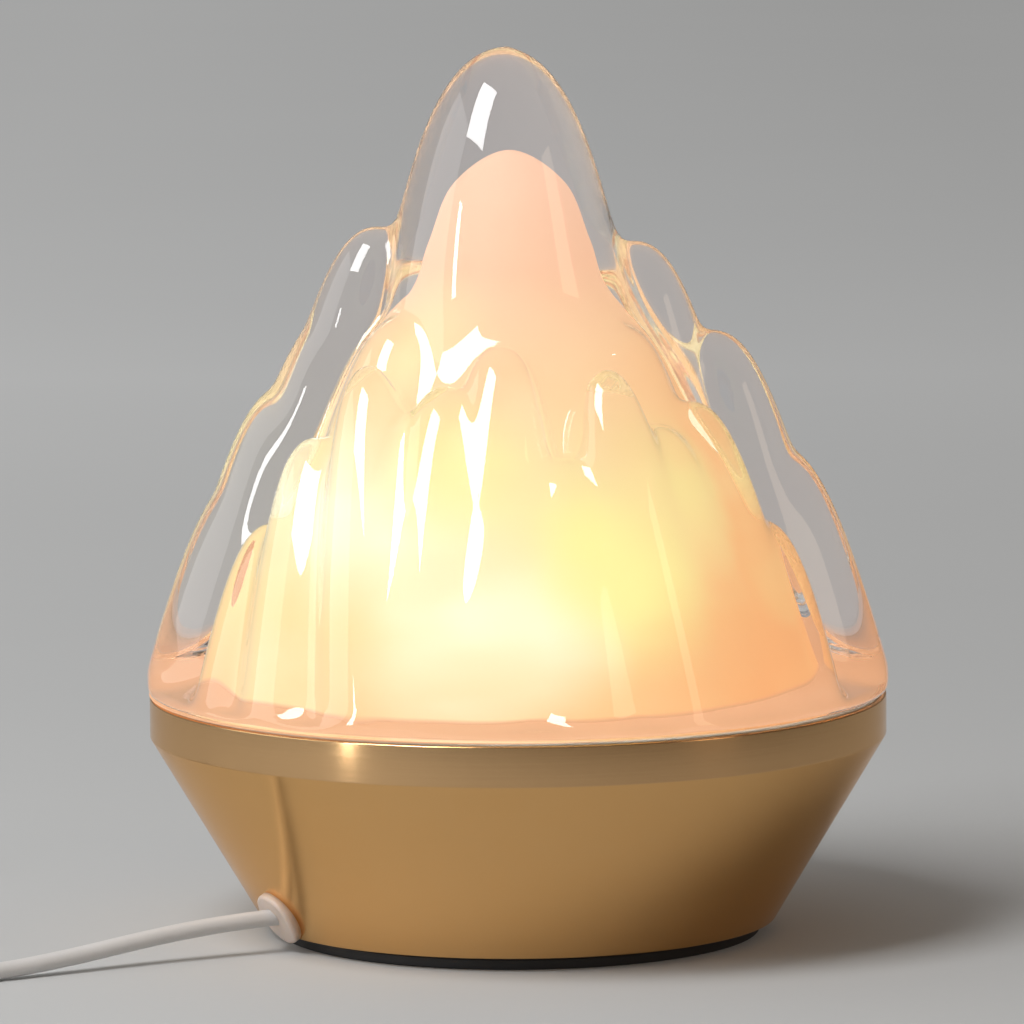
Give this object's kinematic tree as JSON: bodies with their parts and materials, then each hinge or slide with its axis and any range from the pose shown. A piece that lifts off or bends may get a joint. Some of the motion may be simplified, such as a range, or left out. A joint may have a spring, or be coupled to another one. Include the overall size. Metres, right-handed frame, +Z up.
{
  "type": "table lamp",
  "caption": "Table lamp with a thick mountain-shaped glass shade on a conical brass bowl, with a cord, an inline switch and a plug.",
  "frame": {"origin": "centre of the foot ring's underside, on the table", "axes": "+Z up along the bowl's axis, -Y to the front, +X to the right; the cord leaves to the front left"},
  "size_m": [0.4349, 0.2816, 0.2865],
  "materials": {
    "clear_glass": "thick clear glass, polished outside, satin inside",
    "felt": "thin pale felt",
    "brushed_brass": "satin brushed",
    "black_rubber": "matte",
    "black_steel": "matte black paint",
    "zinc_steel": "zinc plated",
    "white_phenolic": "moulded",
    "ceramic": "unglazed ceramic",
    "contact_brass": "bright",
    "white_cord": "soft satin sheath",
    "brown_wire": "insulated",
    "blue_wire": "insulated",
    "white_plastic": "fine satin",
    "grommet_plastic": "satin",
    "bulb_glass": "clear",
    "bulb_cap": "rolled",
    "black_glaze": "glazed",
    "filament": "lit",
    "nickel": "nickel plated"
  },
  "bodies": {
    "base": {"rim_gasket": "felt", "brass_bowl": "brushed_brass", "foot_ring": "black_rubber", "bottom_plate": "black_steel", "bottom_screws": "zinc_steel", "flange_nuts": "zinc_steel", "holder_bridge": "zinc_steel", "bridge_rivets": "zinc_steel", "holder_nipple": "zinc_steel", "nipple_nut": "zinc_steel", "lock_washer": "zinc_steel", "holder_cap": "white_phenolic", "holder_sleeve": "white_phenolic", "contact_block": "ceramic", "centre_contact": "contact_brass", "side_contact": "contact_brass", "screw_shell": "contact_brass", "terminal_screws": "contact_brass", "inner_cord": "white_cord", "live_wire": "brown_wire", "neutral_wire": "blue_wire", "clamp_saddle": "white_plastic", "clamp_screws": "zinc_steel", "cord_grommet": "grommet_plastic", "cord_free": "white_cord", "switch_base": "white_plastic", "switch_cover": "white_plastic", "rocker_pin": "zinc_steel", "switch_screws": "zinc_steel", "switch_contacts": "contact_brass", "cord_mid": "white_cord", "cord_coil": "white_cord", "cord_tail": "white_cord", "plug_body": "white_plastic", "plug_pins": "nickel"},
    "shade": {"glass_shade": "clear_glass"},
    "bulb_tip": {"bulb_contact": "zinc_steel"},
    "bulb": {"bulb_globe": "bulb_glass", "bulb_cap": "bulb_cap", "bulb_insulator": "black_glaze", "bulb_stem": "bulb_glass", "lead_wires": "zinc_steel", "filament": "filament"},
    "rocker": {"switch_rocker": "white_plastic"}
  },
  "joints": [
    {"name": "shade_lift", "type": "slide", "parent": "base", "child": "shade", "axis": [0, 0, 1], "range_m": [0, 0.12]},
    {"name": "bulb_rise", "type": "slide", "parent": "base", "child": "bulb_tip", "axis": [0, 0, 1], "range_m": [0, 0.0091]},
    {"name": "bulb_turn", "type": "hinge", "parent": "bulb_tip", "child": "bulb", "pos_m": [0, 0, 0.0528], "axis": [0, 0, 1], "range_deg": [0, 900]},
    {"name": "rocker_tilt", "type": "hinge", "parent": "base", "child": "rocker", "pos_m": [-0.2247, -0.033, 0.0125], "axis": [1, 0, 0], "range_deg": [0, 16]}
  ],
  "couplings": [
    {"joint": "bulb_rise", "follows": "bulb_turn", "m_per_rad": 0.00057757}
  ]
}
